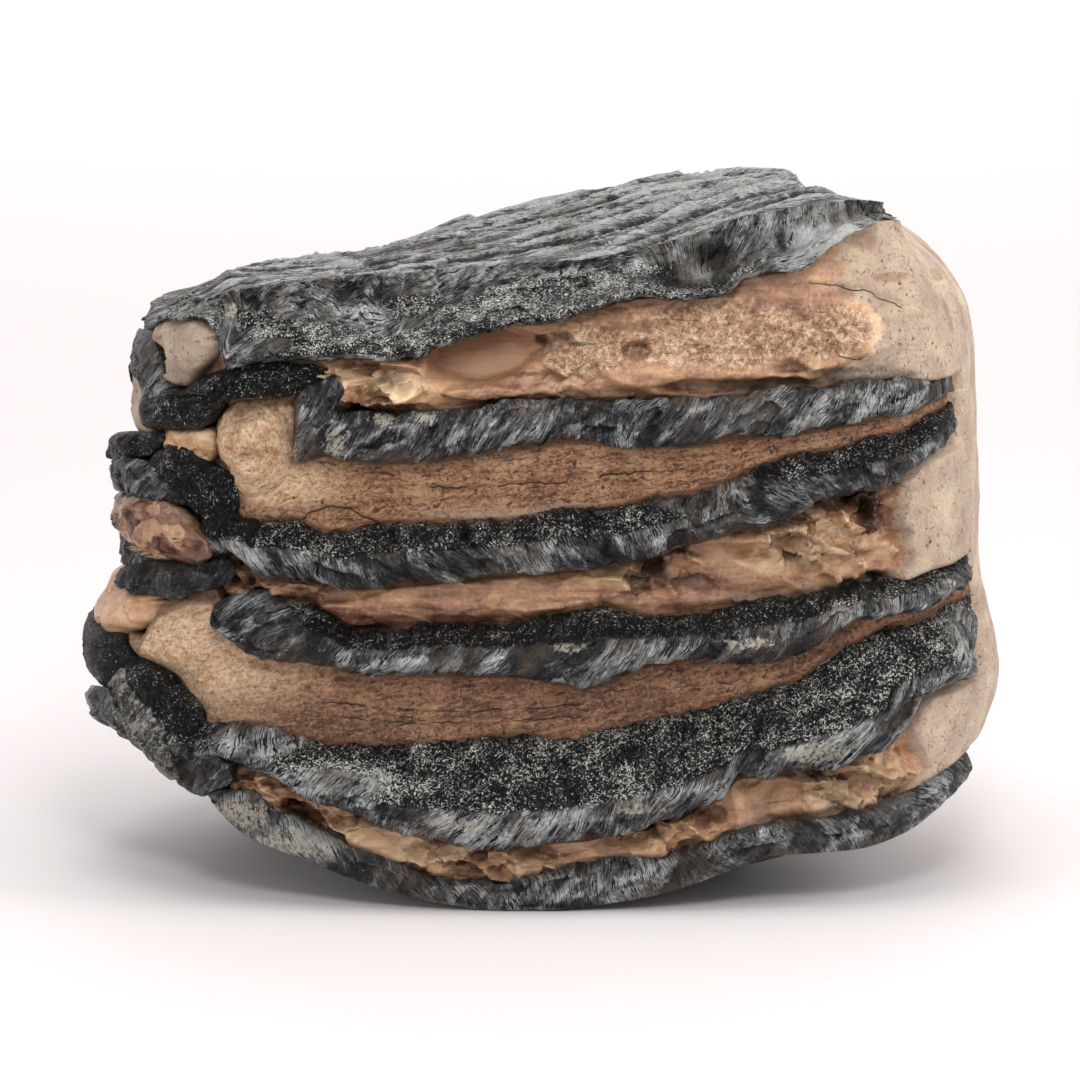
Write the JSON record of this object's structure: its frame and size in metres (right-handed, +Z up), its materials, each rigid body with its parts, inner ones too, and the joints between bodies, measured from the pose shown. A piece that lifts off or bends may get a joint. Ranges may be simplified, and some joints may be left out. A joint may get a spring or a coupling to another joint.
{
  "type": "fossil mammoth molar",
  "caption": "broken fossil mammoth molar lying on its side: a squat block of stacked dark enamel plates with tan dentine and cementum between them, ledged front, ribbed back and a rippled top",
  "frame": {"origin": "the middle of the part's bounding box, at the level of the surface that it rests on", "axes": "+X runs along the plates to the end that smooth cementum wraps, +Y from the ledged chewing face to the back, +Z up across the stacked plates"},
  "size_m": [0.0944, 0.066, 0.0715],
  "materials": {
    "cementum": "matte",
    "dentine": "matte",
    "enamel": "satin"
  },
  "bodies": {
    "root": {"molar": "cementum"}
  },
  "joints": []
}
